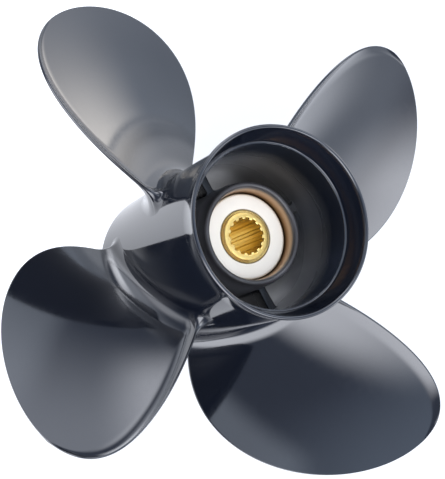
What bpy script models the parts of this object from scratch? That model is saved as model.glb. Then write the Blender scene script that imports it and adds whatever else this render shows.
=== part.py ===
# Four-blade outboard propeller with a through-hub exhaust.
# Metres, +Z up. The shaft axis is Z and the rear (exhaust) end is up; the
# front rim of the barrel lies on z = 0 with its centre at the origin.
# Right-hand rotation. One casting (barrel, ribs, inner hub, blades), a pressed
# bushing and a splined sleeve.
import math

import bmesh
import bpy
from mathutils import Vector

MM = 0.001

# ---------------------------------------------------------------- dimensions
GAP = 0.3 * MM              # clearance between neighbouring solids
SEG = 64                    # facets round a turned piece

# barrel (outer tube of the hub)
LENGTH = 170.0 * MM         # front rim to rear rim
R_FRONT = 54.1 * MM         # outer radius at the front rim
R_REAR = 56.8 * MM          # outer radius where the rear flare starts
Z_FLARE = 149.0 * MM        # start of the rear flare
R_RIM = 60.0 * MM           # outer radius of the rear rim
R_RIM_IN = 57.3 * MM        # inner radius of the rear rim
Z_STEP = 154.5 * MM         # step inside the flare
R_STEP = 51.5 * MM          # inner radius at the step
R_WALL = 51.0 * MM          # inner radius of the exhaust passages
R_MOUTH = 49.4 * MM         # inner radius at the front rim

# inner hub
Z_LIP = 129.6 * MM          # crown of the rear lip
Z_HUB_FRONT = 8.0 * MM
R_LIP = 33.3 * MM           # outer radius at the lip
R_HUB = 36.0 * MM           # outer radius at the front
R_LIP_IN = 29.4 * MM        # inner edge of the lip
Z_LIP_IN = 127.2 * MM
R_BORE = 28.35 * MM         # bore that holds the bushing

# ribs between inner hub and barrel
RIBS = 4
Z_RIB_REAR = 105.0 * MM
Z_RIB_FRONT = 14.0 * MM
T_RIB_HUB = 5.0 * MM        # thickness beside the inner hub
T_RIB_WALL = 6.0 * MM       # thickness beside the barrel
RIB_TURN = math.radians(-2.1)   # the ribs trail the blades' middles by this

# bushing and splined sleeve
R_BUSH = 28.05 * MM
Z_BUSH_REAR = 118.4 * MM
Z_BUSH_FRONT = 24.0 * MM
R_SLEEVE = 17.1 * MM
Z_SLEEVE_REAR = 120.3 * MM  # stands 1.9 mm proud of the bushing
Z_SLEEVE_FRONT = 14.0 * MM
TEETH = 15
R_ROOT = 12.1 * MM          # spline root radius
R_TOOTH = 10.9 * MM         # spline tooth radius

# blades
BLADES = 4
R_AXIS = 52.0 * MM          # radius where the blade outline is measured from
R_TIP = 181.4 * MM          # tip radius
PITCH = 375.4 * MM          # advance a turn, growing 2 % to the tip
Z_ROOT = 63.5 * MM          # height of the blade's generating line at the axis radius
RAKE = 37.8 * MM            # rise of the generating line from root to tip
T_ROOT = 12.0 * MM          # blade thickness at the root
T_TIP = 3.4 * MM            # blade thickness at the tip
T_EDGE = 2.2 * MM           # thickness at the leading and trailing edges
CUP = 1.6 * MM              # height of the cup along the trailing edge
CUP_WIDTH = 9.0 * MM
FILLET = 11.0 * MM          # root fillet radius
STATIONS = 15               # sections from root to tip
CHORD = 12                  # panels along each side of a section


# ------------------------------------------------------------------- helpers
def clear_scene():
    for ob in list(bpy.data.objects):
        bpy.data.objects.remove(ob, do_unlink=True)


def new_collection(name):
    coll = bpy.data.collections.new(name)
    bpy.context.scene.collection.children.link(coll)
    return coll


def paint(name, colour, roughness, metallic):
    mat = bpy.data.materials.new(name)
    mat.use_nodes = True
    bsdf = mat.node_tree.nodes["Principled BSDF"]
    bsdf.inputs["Base Color"].default_value = (*colour, 1.0)
    bsdf.inputs["Roughness"].default_value = roughness
    bsdf.inputs["Metallic"].default_value = metallic
    return mat


def smooth(mesh, degrees=35.0):
    mesh.shade_smooth()
    mesh.set_sharp_from_angle(angle=math.radians(degrees))


def turned(name, profile, coll, mat, steps=SEG):
    """Turn a closed (radius, height) outline about Z."""
    mesh = bpy.data.meshes.new(name)
    bm = bmesh.new()
    ring = [bm.verts.new((r, 0.0, z)) for r, z in profile]
    for i, v in enumerate(ring):
        bm.edges.new((v, ring[(i + 1) % len(ring)]))
    bm.to_mesh(mesh)
    bm.free()
    ob = bpy.data.objects.new(name, mesh)
    coll.objects.link(ob)
    screw = ob.modifiers.new("Screw", 'SCREW')
    screw.angle = math.tau
    screw.screw_offset = 0.0
    screw.steps = steps
    screw.render_steps = steps
    screw.use_merge_vertices = True
    screw.merge_threshold = 0.00001
    screw.use_smooth_shade = True
    ob.data.materials.append(mat)
    return ob


def cut(ob, cutter):
    mod = ob.modifiers.new("Cut", 'BOOLEAN')
    mod.operation = 'DIFFERENCE'
    mod.solver = 'EXACT'
    mod.object = cutter
    return mod


def hide(ob):
    ob.hide_render = True
    ob.display_type = 'WIRE'


def baked(ob, name):
    """The object's evaluated mesh, with its modifiers applied."""
    graph = bpy.context.evaluated_depsgraph_get()
    mesh = bpy.data.meshes.new_from_object(ob.evaluated_get(graph))
    mesh.name = name
    return mesh


# --------------------------------------------------------------- barrel form
def barrel_radius(z):
    """Outer radius of the barrel in front of the flare, with its draft."""
    return R_FRONT + (R_REAR - R_FRONT) * z / Z_FLARE


def barrel_profile():
    """Closed outline, outer side from the rear rim down to the front rim."""
    pts = []
    # rounded rear rim and hollow flare
    rim_mid = 0.5 * (R_RIM + R_RIM_IN)
    half = 0.5 * (R_RIM - R_RIM_IN)
    for k in range(5):
        a = math.pi / 2 * (1 - k / 4)
        pts.append((rim_mid + half * math.cos(a), LENGTH - half + half * math.sin(a)))
    for k in range(1, 5):
        t = k / 4
        z = LENGTH - half - (LENGTH - half - Z_FLARE) * t
        pts.append((R_REAR + (R_RIM - R_REAR) * (1 - t) ** 1.6, z))
    # drafted outside and the eased front edge
    ease = 1.5 * MM
    pts.append((barrel_radius(ease), ease))
    pts.append((R_FRONT - 0.45 * ease, 0.45 * ease))
    pts.append((R_FRONT - ease, 0.0))
    # inside, front to rear
    pts.append((R_MOUTH + 0.8 * MM, 0.0))
    pts.append((R_MOUTH, 0.8 * MM))
    pts.append((R_WALL, Z_RIB_REAR))
    pts.append((R_STEP, Z_STEP))
    pts.append((R_STEP + 1.1 * MM, Z_STEP + 0.6 * MM))
    pts.append((R_RIM_IN, LENGTH - half))
    return pts


def wall_radius(z):
    """Inner radius of the barrel beside the ribs."""
    return R_MOUTH + (R_WALL - R_MOUTH) * (z - 0.8 * MM) / (Z_RIB_REAR - 0.8 * MM)


# ------------------------------------------------------------ inner hub form
def hub_radius(z):
    return R_HUB + (R_LIP + 0.8 * MM - R_HUB) * (z - Z_HUB_FRONT) / (Z_LIP_IN - Z_HUB_FRONT)


def hub_profile():
    return [
        (R_LIP - 1.9 * MM, Z_LIP),
        (R_LIP - 0.6 * MM, Z_LIP - 0.5 * MM),
        (R_LIP + 0.1 * MM, Z_LIP - 1.6 * MM),
        (hub_radius(Z_LIP - 6.0 * MM), Z_LIP - 6.0 * MM),
        (hub_radius(Z_HUB_FRONT + 1.0 * MM), Z_HUB_FRONT + 1.0 * MM),
        (R_HUB - 1.0 * MM, Z_HUB_FRONT),
        (R_BORE + 2.4 * MM, Z_HUB_FRONT),
        (R_BORE, Z_HUB_FRONT + 5.0 * MM),
        (R_BORE, Z_BUSH_REAR + 0.3 * MM),
        (R_LIP_IN, Z_LIP_IN),
        (R_LIP_IN + 1.0 * MM, Z_LIP - 0.4 * MM),
    ]


# ---------------------------------------------------------------- blade form
def outline(s):
    """Half angle, mid angle, height and pitch of the section at station s."""
    s2 = max(-0.2, s)
    mid = -0.159 * s2 + 0.341 * s2 ** 2 + 0.035 * s2 ** 3
    half = math.sqrt(max(0.0, 1 - s2 * s2)) * (
        0.595 + 0.074 * s2 - 0.135 * s2 ** 2 - 0.014 * s2 ** 3)
    z0 = Z_ROOT + RAKE * s2 + 1.0 * MM * s2 ** 2
    pit = PITCH * (1 + 0.02 * s2) / math.tau
    return mid, half, z0, pit


def section(s):
    """Closed outline (angle, height) of the blade where radius is constant."""
    r = R_AXIS + (R_TIP - R_AXIS) * s
    mid, half, z0, pit = outline(s)
    beta = math.atan2(pit, r)
    tx, tz = math.cos(beta), math.sin(beta)      # chord direction
    nx, nz = -math.sin(beta), math.cos(beta)     # towards the rear face
    length = 2 * half * math.hypot(r, pit)       # developed chord
    thick = T_ROOT + (T_TIP - T_ROOT) * max(0.0, s) ** 0.9
    edge = min(T_EDGE, 0.5 * thick)
    cup_w = min(CUP_WIDTH, 0.3 * length)
    flat = 0.5 * length - 0.4 * edge             # the rounded edges take the rest
    face, back = [], []
    for k in range(CHORD + 1):
        u = -math.cos(math.pi * k / CHORD)       # -1 leading, +1 trailing
        c = flat * u
        t = edge + (thick - edge) * (1 - abs(u) ** 2.2)
        rise = CUP * max(0.0, 1 - (flat - c) / cup_w) ** 2 * min(1.0, 1.4 - 0.7 * s)
        face.append((c, rise))
        back.append((c, rise - t))
    ring = face + [(0.5 * length, face[-1][1] - 0.5 * edge)]
    ring += back[::-1] + [(-0.5 * length, -0.5 * edge)]
    # the root fillet swells the outline by an arc tangent to the barrel
    count = len(ring)
    grown = []
    for i, (c, n) in enumerate(ring):
        c0, n0 = ring[i - 1]
        c1, n1 = ring[(i + 1) % count]
        dx, dn = c1 - c0, n1 - n0
        size = math.hypot(dx, dn) or 1.0
        ox, on = -dn / size, dx / size
        z = z0 + (mid * pit) + c * tz + n * nz
        over = r - barrel_radius(min(max(z, 0.0), Z_FLARE))
        over = min(max(over, 0.02 * FILLET), FILLET)
        swell = FILLET - math.sqrt(FILLET ** 2 - (FILLET - over) ** 2)
        c += ox * swell
        n += on * swell
        x = r * mid + c * tx + n * nx
        grown.append((x / r, z0 + mid * pit + c * tz + n * nz))
    return r, grown


def blade_mesh():
    mesh = bpy.data.meshes.new("blade")
    bm = bmesh.new()
    rings = []
    start = (barrel_radius(0.0) - 3.0 * MM - R_AXIS) / (R_TIP - R_AXIS)
    for k in range(STATIONS):
        t = k / (STATIONS - 1)
        if k < 5:                                # close sections in the fillet
            s = start + (0.125 - start) * k / 4
        else:
            s = math.sin(math.radians(7.18 + (88.2 - 7.18) * (k - 4) / (STATIONS - 5)))
        r, pts = section(s)
        rings.append([bm.verts.new((r * math.cos(a), r * math.sin(a), z)) for a, z in pts])
    for low, high in zip(rings, rings[1:]):
        n = len(low)
        for i in range(n):
            j = (i + 1) % n
            bm.faces.new((low[i], low[j], high[j], high[i]))
    bm.faces.new(rings[0][::-1])
    bm.faces.new(rings[-1])
    bmesh.ops.recalc_face_normals(bm, faces=bm.faces)
    bmesh.ops.triangulate(bm, faces=bm.faces)
    bm.to_mesh(mesh)
    bm.free()
    return mesh


# --------------------------------------------------------------------- build
clear_scene()
parts = new_collection("outboard_propeller")
cutters = new_collection("cutters")

casting = paint("painted casting", (0.035, 0.043, 0.060), 0.28, 0.0)
white = paint("white elastomer", (0.86, 0.85, 0.83), 0.55, 0.0)
brass = paint("brass", (0.80, 0.60, 0.25), 0.30, 1.0)

# hub barrel with its flared rear ring
barrel = turned("hub_barrel", barrel_profile(), parts, casting)

# inner hub
inner = turned("inner_hub", hub_profile(), parts, casting.copy())

# ribs
for k in range(RIBS):
    mesh = bpy.data.meshes.new("rib")
    bm = bmesh.new()
    bmesh.ops.create_cube(bm, size=1.0)
    for v in bm.verts:
        top = v.co.z > 0
        z = Z_RIB_REAR if top else Z_RIB_FRONT
        side = 0.5 * (T_RIB_WALL if v.co.x > 0 else T_RIB_HUB) * (1 if v.co.y > 0 else -1)
        if v.co.x > 0:
            x = math.sqrt((wall_radius(z) - GAP - 0.06 * MM) ** 2 - side ** 2)
        else:
            x = hub_radius(z) + GAP
        v.co = Vector((x, side, z))
    bm.to_mesh(mesh)
    bm.free()
    rib = bpy.data.objects.new("rib_%d" % (k + 1), mesh)
    parts.objects.link(rib)
    rib.rotation_euler[2] = math.pi + RIB_TURN - k * math.tau / RIBS
    mesh.materials.append(casting.copy())

# bushing pressed into the inner hub
chamfer = 0.8 * MM
turned("bushing", [
    (R_BUSH - chamfer, Z_BUSH_REAR), (R_BUSH, Z_BUSH_REAR - chamfer),
    (R_BUSH, Z_BUSH_FRONT + chamfer), (R_BUSH - chamfer, Z_BUSH_FRONT),
    (R_SLEEVE + GAP, Z_BUSH_FRONT), (R_SLEEVE + GAP, Z_BUSH_REAR)], parts, white)

# splined sleeve
sleeve = turned("spline_sleeve", [
    (R_SLEEVE - 1.7 * MM, Z_SLEEVE_REAR), (R_SLEEVE, Z_SLEEVE_REAR - 1.9 * MM),
    (R_SLEEVE, Z_SLEEVE_FRONT + 0.9 * MM), (R_SLEEVE - 0.9 * MM, Z_SLEEVE_FRONT),
    (6.0 * MM, Z_SLEEVE_FRONT), (6.0 * MM, Z_SLEEVE_REAR)], parts, brass)
mesh = bpy.data.meshes.new("spline_cutter")
bm = bmesh.new()
ring = []
for k in range(TEETH):
    for f, r in ((-0.20, R_ROOT), (0.0, R_ROOT), (0.20, R_ROOT), (0.34, R_TOOTH), (0.66, R_TOOTH)):
        a = math.tau / TEETH * (k + f)
        ring.append(bm.verts.new((r * math.cos(a), r * math.sin(a), 0.0)))
base = bm.faces.new(ring)
made = bmesh.ops.extrude_face_region(bm, geom=[base])
bmesh.ops.translate(bm, vec=(0, 0, LENGTH),
                    verts=[g for g in made["geom"] if isinstance(g, bmesh.types.BMVert)])
bmesh.ops.recalc_face_normals(bm, faces=bm.faces)
bm.to_mesh(mesh)
bm.free()
spline = bpy.data.objects.new("spline_cutter", mesh)
cutters.objects.link(spline)
hide(spline)
cut(sleeve, spline)

# blades: one loft, cut to clear the barrel, then used four times
core = turned("barrel_cutter", [
    (barrel_radius(LENGTH) + GAP, LENGTH + 10 * MM), (barrel_radius(0.0) + GAP, -10 * MM),
    (20 * MM, -10 * MM), (20 * MM, LENGTH + 10 * MM)], cutters, casting, SEG)
hide(core)
proto = bpy.data.objects.new("blade_form", blade_mesh())
cutters.objects.link(proto)
hide(proto)
cut(proto, core)
bpy.context.view_layer.update()
blade = baked(proto, "blade")
smooth(blade)
for k in range(BLADES):
    own = blade.copy()
    ob = bpy.data.objects.new("blade_%d" % (k + 1), own)
    parts.objects.link(ob)
    ob.rotation_euler[2] = math.pi - k * math.tau / BLADES
    own.materials.clear()
    own.materials.append(casting.copy())
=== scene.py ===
# Looks for the outboard propeller: fine casting, bushing and splined sleeve,
# with procedural materials, on a pale floor that glows with painted light under soft studio light.
import math

import bmesh
import bpy
from mathutils import Matrix, Vector


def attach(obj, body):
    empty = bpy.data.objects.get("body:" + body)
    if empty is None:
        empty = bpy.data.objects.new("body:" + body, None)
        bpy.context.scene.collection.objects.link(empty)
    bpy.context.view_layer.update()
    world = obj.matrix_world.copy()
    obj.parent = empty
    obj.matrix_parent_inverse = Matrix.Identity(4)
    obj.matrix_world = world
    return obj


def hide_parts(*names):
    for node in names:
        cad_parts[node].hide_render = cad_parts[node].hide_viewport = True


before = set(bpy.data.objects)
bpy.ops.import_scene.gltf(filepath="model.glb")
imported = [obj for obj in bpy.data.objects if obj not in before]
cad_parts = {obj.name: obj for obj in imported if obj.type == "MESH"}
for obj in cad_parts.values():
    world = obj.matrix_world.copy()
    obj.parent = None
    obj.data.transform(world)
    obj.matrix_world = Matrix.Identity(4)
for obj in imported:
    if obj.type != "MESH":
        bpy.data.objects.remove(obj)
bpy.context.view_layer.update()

MM = 0.001
TAU = math.tau

# ------------------------------------------------------------ shared numbers
LENGTH = 170.0
R_FRONT, R_REAR, Z_FLARE = 54.1, 56.8, 149.0
R_RIM, R_RIM_IN = 60.0, 57.3
Z_STEP, R_STEP, R_MOUTH = 154.5, 51.5, 49.4
Z_LIP, Z_HUB_FRONT = 129.6, 8.0
R_LIP, R_HUB, R_LIP_IN, Z_LIP_IN = 33.3, 36.0, 29.4, 127.2
R_BORE = 28.2
Z_RIB_REAR, Z_RIB_FRONT, T_RIB_HUB, T_RIB_WALL = 105.0, 14.0, 5.0, 6.0
RIB_TURN = math.radians(-2.1)
R_BUSH, Z_BUSH_REAR, Z_BUSH_FRONT = 28.05, 118.4, 24.0
R_SLEEVE, R_FACE, Z_SLEEVE_REAR, Z_SLEEVE_FRONT = 17.1, 15.4, 120.3, 14.0
TEETH, R_ROOT, R_TOOTH = 15, 12.1, 10.9
R_AXIS, R_TIP, PITCH = 52.0, 181.4, 375.4
Z_ROOT, RAKE = 63.5, 37.8
T_BLADE_ROOT, T_BLADE_TIP, T_EDGE = 12.0, 3.4, 2.2
CUP, CUP_WIDTH = 2.0, 8.0
FILLET, FILLET_UP = 11.0, 15.0     # root fillet across and up the blade

ROUND = 320      # segments round the turned pieces
STATIONS = 120    # blade sections from root to tip
CHORD = 84        # panels along each side of a section


# ------------------------------------------------------------------- helpers
def arc(cr, cz, rad, a0, a1, n):
    """Points of an arc in the (radius, height) plane, angles in degrees."""
    out = []
    for k in range(n + 1):
        a = math.radians(a0 + (a1 - a0) * k / n)
        out.append((cr + rad * math.cos(a), cz + rad * math.sin(a)))
    return out


def mesh_object(name, verts, faces, sharp=30.0):
    mesh = bpy.data.meshes.new(name)
    mesh.from_pydata([Vector(v) * MM for v in verts], [], faces)
    mesh.validate()
    bm = bmesh.new()
    bm.from_mesh(mesh)
    bmesh.ops.recalc_face_normals(bm, faces=bm.faces)
    if bm.calc_volume(signed=True) < 0.0:
        bmesh.ops.reverse_faces(bm, faces=bm.faces)
    bm.to_mesh(mesh)
    bm.free()
    mesh.shade_smooth()
    mesh.set_sharp_from_angle(angle=math.radians(sharp))
    ob = bpy.data.objects.new(name, mesh)
    bpy.context.scene.collection.objects.link(ob)
    return ob


def lathe(name, profile, steps=ROUND, sharp=30.0):
    """Closed (radius, height) outline turned about the shaft axis."""
    n = len(profile)
    verts, faces = [], []
    for k in range(steps):
        a = TAU * k / steps
        c, s = math.cos(a), math.sin(a)
        verts += [(r * c, r * s, z) for r, z in profile]
    for k in range(steps):
        p, q = k * n, ((k + 1) % steps) * n
        for i in range(n):
            j = (i + 1) % n
            faces.append((p + i, q + i, q + j, p + j))
    return mesh_object(name, verts, faces, sharp)


def give(ob, slot, mat, *nodes):
    ob.data.materials.clear()
    ob.data.materials.append(mat)
    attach(ob, "root")
    if nodes:
        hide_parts(*nodes)
    return ob


# ---------------------------------------------------------------- the casting
def barrel_radius(z):
    return R_FRONT + (R_REAR - R_FRONT) * z / Z_FLARE


def wall_radius(z):
    return R_MOUTH + (R_STEP - R_MOUTH) * (z - 0.8) / (Z_STEP - 1.4)


def hub_radius(z):
    return R_HUB + (R_LIP + 0.8 - R_HUB) * (z - Z_HUB_FRONT) / (Z_LIP_IN - Z_HUB_FRONT)


def barrel_outline():
    half = 0.5 * (R_RIM - R_RIM_IN)
    mid = 0.5 * (R_RIM + R_RIM_IN)
    pts = arc(mid, LENGTH - half, half, 90, 0, 8)
    for k in range(1, 17):
        t = k / 16
        z = LENGTH - half - (LENGTH - half - Z_FLARE) * t
        pts.append((R_REAR + (R_RIM - R_REAR) * (1 - t) ** 1.6, z))
    for k in range(1, 24):
        z = Z_FLARE - (Z_FLARE - 1.6) * k / 23
        pts.append((barrel_radius(z), z))
    pts += arc(barrel_radius(1.5) - 1.5, 1.5, 1.5, -10, -90, 6)
    pts += arc(R_MOUTH + 0.8, 0.8, 0.8, -90, -180, 4)
    for k in range(1, 25):
        z = 0.8 + (Z_STEP - 1.4) * k / 24
        pts.append((wall_radius(z), z))
    pts += arc(R_STEP + 0.3, Z_STEP - 0.3, 0.3, 180, 90, 3)
    pts += arc(R_STEP + 0.6, Z_STEP + 0.8, 0.8, -90, -20, 5)
    for k in range(1, 9):
        t = k / 8
        z = Z_STEP + 0.8 + (LENGTH - half - Z_STEP - 0.8) * t
        pts.append((R_STEP + 1.5 + (R_RIM_IN - R_STEP - 1.5) * t, z))
    pts += arc(mid, LENGTH - half, half, 180, 90, 8)[1:-1]
    return pts


def hub_outline():
    """Lip, drafted outside, front edge, bore, and the flared bare bore mouth."""
    pts = arc(R_LIP - 2.0, Z_LIP - 2.0, 2.0, 90, 0, 8)
    for k in range(1, 20):
        z = Z_LIP - 2.2 - (Z_LIP - 2.2 - Z_HUB_FRONT - 1.0) * k / 19
        pts.append((hub_radius(z), z))
    pts += arc(R_HUB - 1.0, Z_HUB_FRONT + 1.0, 1.0, -10, -90, 4)
    pts += [(R_BORE + 2.4, Z_HUB_FRONT), (R_BORE, Z_HUB_FRONT + 5.0)]
    for k in range(1, 8):
        pts.append((R_BORE, Z_HUB_FRONT + 5.0 + (Z_BUSH_REAR - 1.0 - Z_HUB_FRONT - 5.0) * k / 7))
    for k in range(1, 9):
        t = k / 8
        pts.append((R_BORE + (R_LIP_IN - R_BORE) * t ** 1.3, Z_BUSH_REAR - 1.0 + (Z_LIP_IN - Z_BUSH_REAR + 1.0) * t))
    pts += arc(R_LIP_IN + 2.4, Z_LIP_IN, 2.4, 178, 92, 8)
    return pts


def concave(d, rad):
    """Side growth of a fillet of this radius at distance d from its wall."""
    d = min(max(d, 0.0), rad)
    return rad - math.sqrt(max(rad * rad - (rad - d) ** 2, 0.0))


def rib(name, azimuth):
    """A web with fillets to the hub and to the wall, and rounded ends."""
    rad, ease = 2.2, 0.9
    levels = [Z_RIB_FRONT + ease * (1 - math.cos(math.radians(a))) for a in (0, 20, 40, 60, 75, 90)]
    levels += [Z_RIB_FRONT + ease + (Z_RIB_REAR - Z_RIB_FRONT - 2 * ease) * k / 12 for k in range(1, 12)]
    levels += [Z_RIB_REAR - ease * (1 - math.sin(math.radians(a))) for a in range(0, 91, 10)]
    rings = []
    for z in levels:
        end = max(Z_RIB_FRONT + ease - z, z - Z_RIB_REAR + ease, 0.0)
        inset = ease - math.sqrt(max(ease * ease - end * end, 0.0))
        lo, hi = hub_radius(z) - 0.2, wall_radius(z) + 0.3
        side = []
        for k in range(25):
            f = 0.5 - 0.5 * math.cos(math.pi * k / 24)
            x = lo + (hi - lo) * f
            y = 0.5 * (T_RIB_HUB + (T_RIB_WALL - T_RIB_HUB) * f) - inset
            y += concave(x - lo - 0.2, rad) + concave(hi - 0.3 - x, rad)
            side.append((x, y))
        rings.append(side + [(x, -y) for x, y in reversed(side)])
    azimuth += RIB_TURN
    ca, sa = math.cos(azimuth), math.sin(azimuth)
    n = len(rings[0])
    verts = [(x * ca - y * sa, x * sa + y * ca, z) for ring, z in zip(rings, levels) for x, y in ring]
    faces = []
    for k in range(len(rings) - 1):
        for i in range(n):
            j = (i + 1) % n
            faces.append((k * n + i, k * n + j, (k + 1) * n + j, (k + 1) * n + i))
    half = n // 2
    top = (len(rings) - 1) * n
    for i in range(half - 1):                    # strips across both ends
        faces.append((n - 1 - i, n - 2 - i, i + 1, i))
        faces.append((top + i, top + i + 1, top + n - 2 - i, top + n - 1 - i))
    return mesh_object(name, verts, faces, 40)


# --------------------------------------------------------------------- blades
def outline(s):
    s = min(max(s, -0.05), 1.0)
    mid = -0.1592 * s + 0.3415 * s ** 2 + 0.0350 * s ** 3
    half = math.sqrt(max(0.0, 1 - s * s)) * (
        0.5951 + 0.0743 * s - 0.1349 * s ** 2 - 0.0136 * s ** 3)
    z0 = Z_ROOT + RAKE * s + 1.0 * s ** 2
    pit = PITCH * (1 + 0.02 * s) / TAU
    return mid, half, z0, pit


def blade_section(s):
    """Closed section at station s, in (chord, normal); normal is to the rear."""
    r = R_AXIS + (R_TIP - R_AXIS) * s
    mid, half, z0, pit = outline(s)
    length = 2 * half * math.hypot(r, pit)
    lightness = T_BLADE_ROOT + (T_BLADE_TIP - T_BLADE_ROOT) * max(0.0, s) ** 0.9
    edge = min(T_EDGE, 0.8 * lightness, 0.9 * length)
    flat = max(0.5 * length - 0.5 * edge, 0.001)
    cup_w = min(CUP_WIDTH, 0.3 * length)
    face, back = [], []
    for k in range(CHORD + 1):
        u = -math.cos(math.pi * k / CHORD)
        c = flat * u
        t = edge + (lightness - edge) * (1 - abs(u) ** 2.2)
        rise = CUP * max(0.0, 1 - (flat - c) / cup_w) ** 2 * min(1.0, 1.5 - 0.8 * s)
        rise *= min(1.0, length / 40.0)
        face.append((c, rise))
        back.append((c, rise - t))
    ring = list(face)
    tail = face[-1][1] - 0.5 * edge
    for a in (67.5, 45, 22.5, 0, -22.5, -45, -67.5):
        a = math.radians(a)
        ring.append((flat + 0.5 * edge * math.cos(a), tail + 0.5 * edge * math.sin(a)))
    ring += back[::-1]
    for a in (-112.5, -135, -157.5, 180, 157.5, 135, 112.5):
        a = math.radians(a)
        ring.append((-flat + 0.5 * edge * math.cos(a), -0.5 * edge + 0.5 * edge * math.sin(a)))
    return r, mid, z0, pit, ring


def blade(name, azimuth):
    base = 0.5 * (barrel_radius(28.0) + barrel_radius(99.0))
    levels = []                                  # (nominal radius, fillet growth 0..1)
    steps = 26
    levels.append((base - 0.35, 1.06))
    for k in range(steps + 1):
        a = math.radians(90.0 * k / steps)
        levels.append((base + FILLET_UP * (1 - math.cos(a)), 1 - math.sin(a)))
    s_from = (levels[-1][0] - R_AXIS) / (R_TIP - R_AXIS)
    a_from = math.asin(s_from)
    for k in range(1, STATIONS + 1):
        a = a_from + (math.radians(89.2) - a_from) * k / STATIONS
        levels.append((R_AXIS + (R_TIP - R_AXIS) * math.sin(a), 0.0))
    rings = []
    for r_nom, grow in levels:
        s = (r_nom - R_AXIS) / (R_TIP - R_AXIS)
        _, mid, z0, pit, ring = blade_section(s)
        fade = max(0.0, 1 - s / 0.45) ** 2
        count = len(ring)
        pts = []
        for i, (c, n) in enumerate(ring):
            c0, n0 = ring[i - 1]
            c1, n1 = ring[(i + 1) % count]
            dx, dn = c1 - c0, n1 - n0
            size = math.hypot(dx, dn) or 1.0
            c += -dn / size * grow * FILLET
            n += dx / size * grow * FILLET
            beta = math.atan2(pit, r_nom)
            z = z0 + mid * pit + c * math.sin(beta) + n * math.cos(beta)
            x = r_nom * mid + c * math.cos(beta) - n * math.sin(beta)
            r = r_nom + (barrel_radius(z) - base) * fade
            a = x / r_nom + azimuth
            pts.append((r * math.cos(a), r * math.sin(a), z))
        rings.append(pts)
    n = len(rings[0])
    verts = [p for ring in rings for p in ring]
    faces = []
    for k in range(len(rings) - 1):
        for i in range(n):
            j = (i + 1) % n
            faces.append((k * n + i, k * n + j, (k + 1) * n + j, (k + 1) * n + i))
    faces.append(tuple((len(rings) - 1) * n + i for i in reversed(range(n))))
    # the root is closed along the barrel by two rows of strips with a middle line
    half = n // 2
    line = len(verts)
    for i in range(CHORD + 1):
        p, q = Vector(verts[i]), Vector(verts[half + CHORD - i])
        m = 0.5 * (p + q)
        r = 0.5 * (math.hypot(p.x, p.y) + math.hypot(q.x, q.y)) / math.hypot(m.x, m.y)
        verts.append((m.x * r, m.y * r, m.z))
    for i in range(CHORD):
        faces.append((i, i + 1, line + i + 1, line + i))
        faces.append((line + i, line + i + 1, half + CHORD - i - 1, half + CHORD - i))
    for i in range(CHORD, half):                 # fans at the trailing and leading ends
        faces.append((line + CHORD, i, i + 1))
        faces.append((line, half + i, (half + i + 1) % n))
    return mesh_object(name, verts, faces, 50)


# -------------------------------------------------------------- spline sleeve
def sleeve_mesh(name):
    """Turned outside; inside, fifteen straight teeth with eased corners."""
    def bore(a, extra=0.0):
        f = (a / TAU * TEETH) % 1.0
        f = abs((f + 0.5) % 1.0 - 0.5)           # 0 at the root's middle
        t = min(max((f - 0.20) / 0.12, 0.0), 1.0)
        t = t * t * (3 - 2 * t)
        return R_ROOT + (R_TOOTH - R_ROOT) * t + extra

    angles = sorted(set([round(TAU * k / (TEETH * 24), 9) for k in range(TEETH * 24)]))
    levels = []                                  # (kind, radius or extra, height)
    top, low = Z_SLEEVE_REAR, Z_SLEEVE_FRONT
    levels += [("round", R_SLEEVE, top - 2.2), ("round", R_SLEEVE - 0.06, top - 2.0),
               ("round", R_SLEEVE - 0.16, top - 1.86), ("round", R_FACE + 0.16, top - 0.22),
               ("round", R_FACE + 0.04, top - 0.08), ("round", R_FACE - 0.12, top),
               ("round", R_ROOT + 1.0, top)]
    levels += [("bore", 0.5, top), ("bore", 0.2, top - 0.15), ("bore", 0.08, top - 0.6),
               ("bore", 0.0, top - 20), ("bore", 0.0, top - 50), ("bore", 0.0, low + 1.0),
               ("bore", 0.5, low)]
    levels += [("round", R_SLEEVE - 0.9, low), ("round", R_SLEEVE, low + 0.9)]
    verts, faces = [], []
    n = len(angles)
    for kind, v, z in levels:
        for a in angles:
            r = bore(a, v) if kind == "bore" else v
            verts.append((r * math.cos(a), r * math.sin(a), z))
    m = len(levels)
    for k in range(m):
        p, q = k * n, ((k + 1) % m) * n
        for i in range(n):
            j = (i + 1) % n
            faces.append((p + i, p + j, q + j, q + i))
    return mesh_object(name, verts, faces, 28)


# ------------------------------------------------------------------ materials
def nodes_of(name):
    mat = bpy.data.materials.new(name)
    mat.use_nodes = True
    tree = mat.node_tree
    return mat, tree.nodes, tree.links, tree.nodes["Principled BSDF"]


def noise(nodes, links, coord, scale, detail=3.0, rough=0.5):
    n = nodes.new("ShaderNodeTexNoise")
    n.inputs["Scale"].default_value = scale
    n.inputs["Detail"].default_value = detail
    n.inputs["Roughness"].default_value = rough
    links.new(coord.outputs["Object"], n.inputs["Vector"])
    return n


def ramp(nodes, links, source, stops):
    r = nodes.new("ShaderNodeValToRGB")
    while len(r.color_ramp.elements) < len(stops):
        r.color_ramp.elements.new(0.5)
    for e, (pos, col) in zip(r.color_ramp.elements, stops):
        e.position = pos
        e.color = (*col, 1.0) if len(col) == 3 else col
    links.new(source, r.inputs["Fac"])
    return r


def span(nodes, links, source, lo, hi, from_lo=0.3, from_hi=0.7):
    m = nodes.new("ShaderNodeMapRange")
    m.inputs["From Min"].default_value = from_lo
    m.inputs["From Max"].default_value = from_hi
    m.inputs["To Min"].default_value = lo
    m.inputs["To Max"].default_value = hi
    links.new(source, m.inputs["Value"])
    return m


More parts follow.
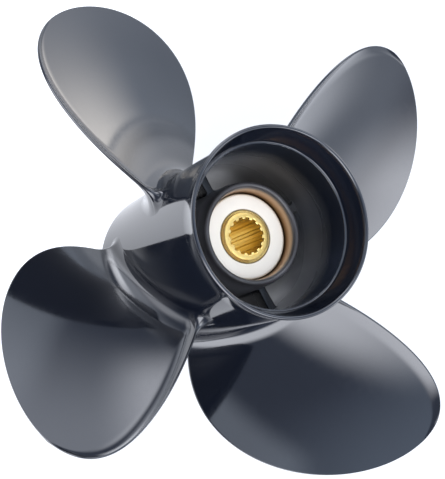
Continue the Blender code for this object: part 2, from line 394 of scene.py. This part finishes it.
def casting_paint():
    """Black gloss paint with a faint peel and small changes in gloss."""
    mat, nodes, links, bsdf = nodes_of("casting_paint")
    coord = nodes.new("ShaderNodeTexCoord")
    broad = noise(nodes, links, coord, 14.0, 3.0)
    fine = noise(nodes, links, coord, 260.0, 2.0)
    peel = noise(nodes, links, coord, 480.0, 1.0)
    tint = ramp(nodes, links, broad.outputs["Fac"], [
        (0.35, (0.0025, 0.0034, 0.0062)), (0.65, (0.0035, 0.0046, 0.0080))])
    links.new(tint.outputs["Color"], bsdf.inputs["Base Color"])
    rough = span(nodes, links, fine.outputs["Fac"], 0.07, 0.11)
    links.new(rough.outputs["Result"], bsdf.inputs["Roughness"])
    bump = nodes.new("ShaderNodeBump")
    bump.inputs["Strength"].default_value = 0.02
    bump.inputs["Distance"].default_value = 0.0002
    links.new(peel.outputs["Fac"], bump.inputs["Height"])
    links.new(bump.outputs["Normal"], bsdf.inputs["Normal"])
    bsdf.inputs["IOR"].default_value = 1.575
    return mat


def passage_coat(name, stops, ior, painted_light_by_azimuth=None):
    """Gloss paint that turns into dry, dull overspray deeper in, its shade lighter
    there partly as painted light for the light reaching the deep passages: stops of height, shade of the coat and
    roughness, from the lowest up. By azimuth it may carry painted light and shade too, with a warmer or cooler tint:
    stops of azimuth, lightness and warmth."""
    mat, nodes, links, bsdf = nodes_of(name)
    coord = nodes.new("ShaderNodeTexCoord")
    split = nodes.new("ShaderNodeSeparateXYZ")
    links.new(coord.outputs["Object"], split.inputs["Vector"])
    # the borders wander by a few millimetres
    slow = noise(nodes, links, coord, 24.0, 0.5)
    wander = span(nodes, links, slow.outputs["Fac"], -0.003, 0.003)
    height = nodes.new("ShaderNodeMath")
    height.operation = 'ADD'
    links.new(split.outputs["Z"], height.inputs[0])
    links.new(wander.outputs["Result"], height.inputs[1])
    low, high = stops[0][0], stops[-1][0]
    where = span(nodes, links, height.outputs["Value"], 0.0, 1.0, low * MM, high * MM)
    coat = ramp(nodes, links, where.outputs["Result"], [
        ((z - low) / (high - low), shade) for z, shade, _ in stops])
    dull = ramp(nodes, links, where.outputs["Result"], [
        ((z - low) / (high - low), (rough,) * 3) for z, _, rough in stops])
    dust = noise(nodes, links, coord, 34.0, 2.0)
    patch = ramp(nodes, links, dust.outputs["Fac"], [(0.3, (0.86, 0.86, 0.87)), (0.7, (1.12, 1.10, 1.08))])
    tint = nodes.new("ShaderNodeMix")
    tint.data_type = 'RGBA'
    tint.blend_type = 'MULTIPLY'
    tint.inputs["Factor"].default_value = 1.0
    links.new(coat.outputs["Color"], tint.inputs["A"])
    links.new(patch.outputs["Color"], tint.inputs["B"])
    # painted light and shade round the passage walls, by azimuth, with a tint
    if painted_light_by_azimuth:
        side = span(nodes, links, split.outputs["X"], 0.0, 1.0, -R_STEP * MM, R_STEP * MM)
        painted_side_light = ramp(nodes, links, side.outputs["Result"], [
            (0.5 + 0.5 * math.cos(math.radians(a)),
             (lightness * (1.0 + warm), lightness, lightness * (1.0 - 1.6 * warm))) for a, lightness, warm in painted_light_by_azimuth])
        full = nodes.new("ShaderNodeMix")
        full.data_type = 'RGBA'
        full.blend_type = 'MULTIPLY'
        full.inputs["Factor"].default_value = 1.0
        links.new(tint.outputs["Result"], full.inputs["A"])
        links.new(painted_side_light.outputs["Color"], full.inputs["B"])
        tint = full
    links.new(tint.outputs["Result"], bsdf.inputs["Base Color"])
    links.new(dull.outputs["Color"], bsdf.inputs["Roughness"])
    fine = noise(nodes, links, coord, 420.0, 2.0)
    bump = nodes.new("ShaderNodeBump")
    bump.inputs["Strength"].default_value = 0.05
    bump.inputs["Distance"].default_value = 0.0002
    links.new(fine.outputs["Fac"], bump.inputs["Height"])
    links.new(bump.outputs["Normal"], bsdf.inputs["Normal"])
    bsdf.inputs["IOR"].default_value = ior
    return mat


def from_axis(nodes, links, coord):
    """Distance from the shaft axis."""
    split = nodes.new("ShaderNodeSeparateXYZ")
    links.new(coord.outputs["Object"], split.inputs["Vector"])
    flat = nodes.new("ShaderNodeCombineXYZ")
    links.new(split.outputs["X"], flat.inputs["X"])
    links.new(split.outputs["Y"], flat.inputs["Y"])
    length = nodes.new("ShaderNodeVectorMath")
    length.operation = 'LENGTH'
    links.new(flat.outputs["Vector"], length.inputs[0])
    return length, split


def white_elastomer():
    """Cream rubber, with painted shade in the gaps along its inner and outer edges."""
    mat, nodes, links, bsdf = nodes_of("white_elastomer")
    coord = nodes.new("ShaderNodeTexCoord")
    length, _ = from_axis(nodes, links, coord)
    where = span(nodes, links, length.outputs["Value"], 0.0, 1.0, 0.017, 0.0285)
    # painted shade where the rubber meets the sleeve and the bore
    painted_edge_shade = ramp(nodes, links, where.outputs["Result"], [
        (0.0, (0.10, 0.075, 0.035)), (0.045, (0.22, 0.17, 0.09)), (0.085, (1.0, 1.0, 1.0)),
        (0.80, (1.0, 1.0, 1.0)), (0.90, (0.80, 0.72, 0.62)), (0.945, (0.34, 0.25, 0.17)),
        (0.97, (0.08, 0.045, 0.02))])
    broad = noise(nodes, links, coord, 60.0, 3.0)
    tint = ramp(nodes, links, broad.outputs["Fac"], [
        (0.3, (0.610, 0.557, 0.470)), (0.7, (0.643, 0.590, 0.502))])
    both = nodes.new("ShaderNodeMix")
    both.data_type = 'RGBA'
    both.blend_type = 'MULTIPLY'
    both.inputs["Factor"].default_value = 1.0
    links.new(tint.outputs["Color"], both.inputs["A"])
    links.new(painted_edge_shade.outputs["Color"], both.inputs["B"])
    links.new(both.outputs["Result"], bsdf.inputs["Base Color"])
    fine = noise(nodes, links, coord, 700.0, 2.0)
    rough = span(nodes, links, fine.outputs["Fac"], 0.42, 0.55)
    links.new(rough.outputs["Result"], bsdf.inputs["Roughness"])
    bump = nodes.new("ShaderNodeBump")
    bump.inputs["Strength"].default_value = 0.12
    bump.inputs["Distance"].default_value = 0.0002
    links.new(fine.outputs["Fac"], bump.inputs["Height"])
    links.new(bump.outputs["Normal"], bsdf.inputs["Normal"])
    return mat


def machined_brass():
    """Turned outside and on the face, broached along the splined bore."""
    mat, nodes, links, bsdf = nodes_of("machined_brass")
    coord = nodes.new("ShaderNodeTexCoord")
    length, split = from_axis(nodes, links, coord)
    # streaks along the axis, left by the broach
    low = nodes.new("ShaderNodeVectorMath")
    low.operation = 'MULTIPLY'
    low.inputs[1].default_value = (1.0, 1.0, 0.02)
    links.new(coord.outputs["Object"], low.inputs[0])
    streak = nodes.new("ShaderNodeTexNoise")
    streak.inputs["Scale"].default_value = 420.0
    streak.inputs["Detail"].default_value = 3.0
    links.new(low.outputs["Vector"], streak.inputs["Vector"])
    tint = ramp(nodes, links, streak.outputs["Fac"], [
        (0.32, (0.95, 0.71, 0.25)), (0.66, (1.0, 0.84, 0.38))])
    # the turned end face is duller than the broached bore
    end = span(nodes, links, split.outputs["Z"], 0.0, 1.0, 0.12005, 0.12025)
    dull = nodes.new("ShaderNodeMix")
    dull.data_type = 'RGBA'
    dull.blend_type = 'MULTIPLY'
    dull.inputs["B"].default_value = (0.635, 0.545, 0.43, 1.0)
    links.new(end.outputs["Result"], dull.inputs["Factor"])
    links.new(tint.outputs["Color"], dull.inputs["A"])
    links.new(dull.outputs["Result"], bsdf.inputs["Base Color"])
    bsdf.inputs["Metallic"].default_value = 1.0
    # fine turning marks round the axis
    marks = nodes.new("ShaderNodeTexNoise")
    marks.noise_dimensions = '1D'
    marks.inputs["Scale"].default_value = 4200.0
    marks.inputs["Detail"].default_value = 2.0
    links.new(length.outputs["Value"], marks.inputs["W"])
    rough = span(nodes, links, marks.outputs["Fac"], 0.24, 0.38)
    links.new(rough.outputs["Result"], bsdf.inputs["Roughness"])
    both = nodes.new("ShaderNodeMath")
    both.operation = 'ADD'
    links.new(marks.outputs["Fac"], both.inputs[0])
    links.new(streak.outputs["Fac"], both.inputs[1])
    bump = nodes.new("ShaderNodeBump")
    bump.inputs["Strength"].default_value = 0.15
    bump.inputs["Distance"].default_value = 0.0001
    links.new(both.outputs["Value"], bump.inputs["Height"])
    links.new(bump.outputs["Normal"], bsdf.inputs["Normal"])
    return mat


def bare_bore():
    """Bored, unpainted aluminium with a brown film, darkest deep in the recess by the bushing, lightest midway, and
    darker again at the lip.
    """
    mat, nodes, links, bsdf = nodes_of("bare_bore")
    coord = nodes.new("ShaderNodeTexCoord")
    broad = noise(nodes, links, coord, 45.0, 3.0)
    split = nodes.new("ShaderNodeSeparateXYZ")
    links.new(coord.outputs["Object"], split.inputs["Vector"])
    depth = span(nodes, links, split.outputs["Z"], 0.0, 1.0, 0.1174, 0.1274)
    film = ramp(nodes, links, depth.outputs["Result"], [
        (0.08, (0.085, 0.045, 0.017)), (0.20, (0.17, 0.094, 0.041)), (0.36, (0.27, 0.155, 0.074)),
        (0.52, (0.38, 0.235, 0.135)), (0.66, (0.46, 0.32, 0.205)), (0.80, (0.40, 0.285, 0.195)),
        (0.92, (0.21, 0.16, 0.12)), (1.0, (0.10, 0.086, 0.073))])
    patch = ramp(nodes, links, broad.outputs["Fac"], [(0.3, (0.86, 0.85, 0.84)), (0.7, (1.0, 1.0, 1.0))])
    tint = nodes.new("ShaderNodeMix")
    tint.data_type = 'RGBA'
    tint.blend_type = 'MULTIPLY'
    tint.inputs["Factor"].default_value = 1.0
    links.new(film.outputs["Color"], tint.inputs["A"])
    links.new(patch.outputs["Color"], tint.inputs["B"])
    links.new(tint.outputs["Result"], bsdf.inputs["Base Color"])
    bsdf.inputs["Metallic"].default_value = 1.0
    # turning marks stacked along the axis
    marks = nodes.new("ShaderNodeTexNoise")
    marks.noise_dimensions = '1D'
    marks.inputs["Scale"].default_value = 3000.0
    marks.inputs["Detail"].default_value = 2.0
    links.new(split.outputs["Z"], marks.inputs["W"])
    rough = span(nodes, links, marks.outputs["Fac"], 0.34, 0.46)
    links.new(rough.outputs["Result"], bsdf.inputs["Roughness"])
    bump = nodes.new("ShaderNodeBump")
    bump.inputs["Strength"].default_value = 0.1
    bump.inputs["Distance"].default_value = 0.0001
    links.new(marks.outputs["Fac"], bump.inputs["Height"])
    links.new(bump.outputs["Normal"], bsdf.inputs["Normal"])
    return mat


# ---------------------------------------------------------------------- build
paint = casting_paint()
GLOSS = (0.0050, 0.0063, 0.0100)
# wall and core coats: lighter deeper in, partly dull overspray and partly painted light; the wall's stops by azimuth
# are painted light and shade
wall_overspray_and_painted_light = passage_coat("wall_coat", [
    (84.0, (0.410, 0.404, 0.404), 0.26), (100.0, (0.330, 0.326, 0.324), 0.27),
    (112.0, (0.222, 0.218, 0.216), 0.29), (122.0, (0.150, 0.147, 0.146), 0.30),
    (131.0, (0.088, 0.088, 0.090), 0.26), (141.0, (0.016, 0.020, 0.030), 0.19)], 1.5, [
    (180.0, 0.36, -0.04), (165.0, 0.50, -0.07), (150.0, 0.52, -0.01), (138.0, 0.46, 0.03),
    (126.0, 0.31, 0.05), (108.0, 0.29, 0.05), (97.0, 0.29, 0.01), (85.0, 0.28, -0.05),
    (73.0, 0.29, -0.08), (62.0, 0.38, -0.02), (50.0, 0.60, -0.01), (40.0, 0.97, -0.01),
    (26.0, 0.97, -0.02), (0.0, 0.78, -0.02)])
core_overspray_and_painted_light = passage_coat("core_coat", [
    (96.0, (0.240, 0.235, 0.240), 0.34), (118.0, (0.190, 0.185, 0.192), 0.34),
    (124.5, (0.110, 0.106, 0.112), 0.34), (128.5, (0.036, 0.034, 0.035), 0.34),
    (131.0, (0.026, 0.024, 0.024), 0.34)], 1.40)
dry_rib = passage_coat("rib_coat", [
    (70.0, (0.054, 0.054, 0.056), 0.30), (96.0, (0.028, 0.028, 0.030), 0.28),
    (104.0, (0.009, 0.010, 0.012), 0.22)], 1.36)
# painted light: the far rib's coat is kept lighter than the other ribs' to offset the shade on its end seen past the
# hub lip
far_rib_painted_light = passage_coat("far_rib_painted_light_coat", [
    (70.0, (0.054, 0.054, 0.056), 0.30), (92.0, (0.044, 0.044, 0.045), 0.30),
    (104.0, (0.040, 0.040, 0.041), 0.30)], 1.36)


def inside(ob, mat, inner, outer, top):
    """The faces of the passages between two radii get the given passage coat."""
    ob.data.materials.append(mat)
    last = len(ob.data.materials) - 1
    for face in ob.data.polygons:
        r = math.hypot(face.center.x, face.center.y) / MM
        z = face.center.z / MM
        if inner < r < outer and 1.0 < z < top:
            face.material_index = last


barrel = give(lathe("hub_barrel_casting", barrel_outline()), "hub_barrel", paint, "hub_barrel")
inside(barrel, wall_overspray_and_painted_light, R_HUB, R_STEP + 0.1, Z_STEP - 0.5)
hub = give(lathe("inner_hub_casting", hub_outline()), "inner_hub", paint, "inner_hub")
inside(hub, core_overspray_and_painted_light, R_LIP_IN, R_STEP, Z_LIP + 1.0)
hub.data.materials.append(bare_bore())
for face in hub.data.polygons:                   # the bare bore and its mouth
    r = math.hypot(face.center.x, face.center.y) / MM
    z = face.center.z / MM
    if r < R_LIP_IN + 0.02 and Z_HUB_FRONT + 4.0 < z < Z_LIP_IN + 0.02:
        face.material_index = 2
for k in range(4):
    azimuth = math.pi - k * TAU / 4
    web = give(rib("rib_%d_casting" % (k + 1), azimuth), "ribs", paint, "rib_%d" % (k + 1))
    inside(web, far_rib_painted_light if k == 1 else dry_rib, R_LIP - 1.0, R_STEP + 1.0, Z_RIB_REAR + 1.0)
    give(blade("blade_%d_casting" % (k + 1), azimuth), "blades", paint, "blade_%d" % (k + 1))

bush = [(R_BUSH, Z_BUSH_REAR - 1.9 - (Z_BUSH_REAR - Z_BUSH_FRONT - 2.8) * k / 6) for k in range(7)]
bush += arc(R_BUSH - 0.8, Z_BUSH_FRONT + 0.8, 0.8, -10, -90, 4)
bush += [(R_SLEEVE + 0.05, Z_BUSH_FRONT), (R_SLEEVE + 0.05, Z_BUSH_REAR - 0.6)]
bush += arc(R_SLEEVE + 0.65, Z_BUSH_REAR - 0.6, 0.6, 180, 90, 4)
bush += arc(R_BUSH - 1.8, Z_BUSH_REAR - 1.8, 1.8, 90, 10, 8)
give(lathe("bushing_ring", bush), "bushing", white_elastomer(), "bushing")
give(sleeve_mesh("splined_brass_sleeve"), "spline_sleeve", machined_brass(), "spline_sleeve")

# ---------------------------------------------------------------------- stage
bpy.ops.mesh.primitive_plane_add(size=16.0, location=(0.0, 0.0, 0.0))
floor = bpy.context.object
floor.name = "floor"
mat, nodes, links, bsdf = nodes_of("pale_floor")
bsdf.inputs["Base Color"].default_value = (0.14, 0.14, 0.14, 1.0)
bsdf.inputs["Roughness"].default_value = 0.14
bsdf.inputs["IOR"].default_value = 1.25
# painted light: the floor glows by itself, brightest round the part and dim further out, with painted pools of light
# here and there, beside the low lights
coord = nodes.new("ShaderNodeTexCoord")
reach, _ = from_axis(nodes, links, coord)
lit = span(nodes, links, reach.outputs["Value"], 0.80, 0.06, 0.27, 0.60)
lit.interpolation_type = 'SMOOTHSTEP'
for x, y, more, near, far in ((-0.44, -0.32, 2.3, 0.12, 0.56), (0.72, 0.62, 1.6, 0.10, 0.45),
                              (-0.92, 0.36, 3.0, 0.15, 0.62), (-0.03, -0.04, 0.25, 0.03, 0.12),
                              (0.05, 1.75, 0.55, 0.35, 1.05), (0.13, 0.70, 0.28, 0.04, 0.26)):
    corner = nodes.new("ShaderNodeVectorMath")
    corner.operation = 'DISTANCE'
    corner.inputs[1].default_value = (x, y, 0.0)
    links.new(coord.outputs["Object"], corner.inputs[0])
    spill = span(nodes, links, corner.outputs["Value"], more, 0.0, near, far)
    spill.interpolation_type = 'SMOOTHSTEP'
    both = nodes.new("ShaderNodeMath")
    both.operation = 'ADD'
    links.new(lit.outputs[0], both.inputs[0])
    links.new(spill.outputs["Result"], both.inputs[1])
    lit = both
bsdf.inputs["Emission Color"].default_value = (1.0, 1.03, 1.11, 1.0)
links.new(lit.outputs[0], bsdf.inputs["Emission Strength"])
floor.data.materials.append(mat)

world = bpy.data.worlds.new("studio")
bpy.context.scene.world = world
world.use_nodes = True
world.node_tree.nodes["Background"].inputs["Color"].default_value = (0.42, 0.48, 0.62, 1.0)
world.node_tree.nodes["Background"].inputs["Strength"].default_value = 1.0


def soft_box(name, wide, high, glow, colour, borders):
    """A rectangular light of this radiance whose borders fade: for each, the
    axis, the end it starts from and the share of the size it fades over."""
    data = bpy.data.lights.new(name, 'AREA')
    data.shape = 'RECTANGLE'
    data.size, data.size_y = wide, high
    data.energy = glow * math.pi * wide * high
    data.color = colour
    data.use_nodes = True
    tree = data.node_tree
    nodes, links = tree.nodes, tree.links
    place = nodes.new("ShaderNodeNewGeometry")
    split = nodes.new("ShaderNodeSeparateXYZ")
    links.new(place.outputs["Parametric"], split.inputs["Vector"])
    total = None
    for axis, start, share in borders:
        fall = nodes.new("ShaderNodeMapRange")
        fall.interpolation_type = 'SMOOTHSTEP'
        fall.inputs["From Min"].default_value = start
        fall.inputs["From Max"].default_value = start + share
        fall.inputs["To Min"].default_value = 0.0
        fall.inputs["To Max"].default_value = 1.0
        links.new(split.outputs[axis], fall.inputs["Value"])
        if total is None:
            total = fall.outputs["Result"]
        else:
            both = nodes.new("ShaderNodeMath")
            both.operation = 'MULTIPLY'
            links.new(total, both.inputs[0])
            links.new(fall.outputs["Result"], both.inputs[1])
            total = both.outputs["Value"]
    links.new(total, nodes["Emission"].inputs["Strength"])
    ob = bpy.data.objects.new(name, data)
    bpy.context.scene.collection.objects.link(ob)
    ob.visible_camera = False
    return ob


def panel(name, azimuth, width, low, high, glow, colour=(1.0, 1.0, 1.0),
          edge=0.2, rim=0.2, base=0.02):
    """An upright soft box round the part: azimuth, width and the lowest and
    highest elevation in degrees, glow as its radiance, and the shares of its
    size over which the side, upper and lower borders fade; a pair for the
    sides gives the one at the smaller azimuth first."""
    far = 2.0
    first, last = edge if isinstance(edge, tuple) else (edge, edge)
    wide = 2 * far * math.tan(math.radians(0.5 * width))
    z0, z1 = (far * math.tan(math.radians(v)) for v in (low, high))
    ob = soft_box(name, wide, z1 - z0, glow, colour, [
        ("X", 0.0, first), ("X", 1.0, -last), ("Y", 0.0, base), ("Y", 1.0, -rim)])
    a = math.radians(azimuth)
    ob.location = (far * math.cos(a), far * math.sin(a), 0.5 * (z0 + z1) + 0.002)
    ob.rotation_euler = Vector((-math.cos(a), -math.sin(a), 0.0)).to_track_quat('-Z', 'Y').to_euler()
    return ob


def ceiling(name, spot, size, glow, colour=(1.0, 1.0, 1.0)):
    """A soft box overhead that fades towards all four sides."""
    ob = soft_box(name, size, size, glow, colour, [
        ("X", 0.0, 0.4), ("X", 1.0, -0.4), ("Y", 0.0, 0.4), ("Y", 1.0, -0.4)])
    ob.location = spot
    return ob


COOL = (0.98, 1.0, 1.07)
panel("key_front", -72.5, 64.0, 0.0, 75.0, 7.4, COOL, (0.44, 0.24), 0.8)
panel("key_right", -6.5, 59.0, 16.0, 72.0, 7.4, COOL, (0.2, 0.39), 0.2, 0.39)
panel("right_fill", 18.0, 46.0, 6.0, 62.0, 0.4, COOL, 0.3, 0.2, 0.1)
panel("side", 42.0, 36.0, 0.0, 46.0, 3.8, COOL, 0.4, 0.5)
panel("back", 89.5, 25.0, 0.0, 30.0, 4.85, (1.08, 1.0, 0.90), (0.78, 0.22), 0.8, 0.06)
panel("back_mid", 86.0, 36.0, 4.0, 36.0, 0.4, COOL, 0.5, 0.4, 0.3)
panel("back_high", 74.0, 60.0, 16.0, 60.0, 0.6, COOL, 0.3, 0.3, 0.2)
panel("back_fill", 62.0, 132.0, 0.0, 60.0, 1.05, (0.9, 1.0, 1.15), 0.12, 0.3, 0.002)
panel("left_wide", 131.0, 78.0, 17.0, 64.0, 2.5, (0.95, 1.0, 1.11), 0.2, 0.25, 0.34)
panel("left", 155.0, 38.0, 20.5, 64.0, 3.4, COOL, 0.45, 0.25, 0.18)
panel("left_low", 156.0, 32.0, 0.0, 13.0, 6.5, COOL, 0.4, 0.55)
panel("left_ring", 177.0, 54.0, 0.0, 24.0, 2.3, (0.95, 1.0, 1.1), 0.3, 0.6)
panel("front_low", -142.0, 56.0, 0.0, 27.0, 2.8, COOL, 0.4, 0.45)
panel("left_fill", -166.0, 44.0, 34.0, 68.0, 1.5, (0.9, 1.0, 1.15), 0.35, 0.3)
ceiling("top", (0.1, 0.3, 3.0), 4.0, 1.45, (0.81, 0.99, 1.25))

# the photograph's camera, solved from the hub's circles and the blade edges
cam = bpy.data.cameras.new("camera")
camera = bpy.data.objects.new("camera", cam)
bpy.context.scene.collection.objects.link(camera)
cam.sensor_fit = 'AUTO'
cam.sensor_width = 36.0
cam.lens = 99.42
cam.clip_start = 0.01
cam.clip_end = 50.0
camera.matrix_world = Matrix.Translation((-0.059171, -0.395810, 0.854969)) @ Matrix((
    (0.4991001, -0.8641818, -0.0639442),
    (0.7546720, 0.4697465, -0.4580484),
    (0.4258747, 0.1803551, 0.8866244))).to_4x4()
bpy.context.scene.camera = camera
bpy.context.scene.view_settings.view_transform = 'Standard'
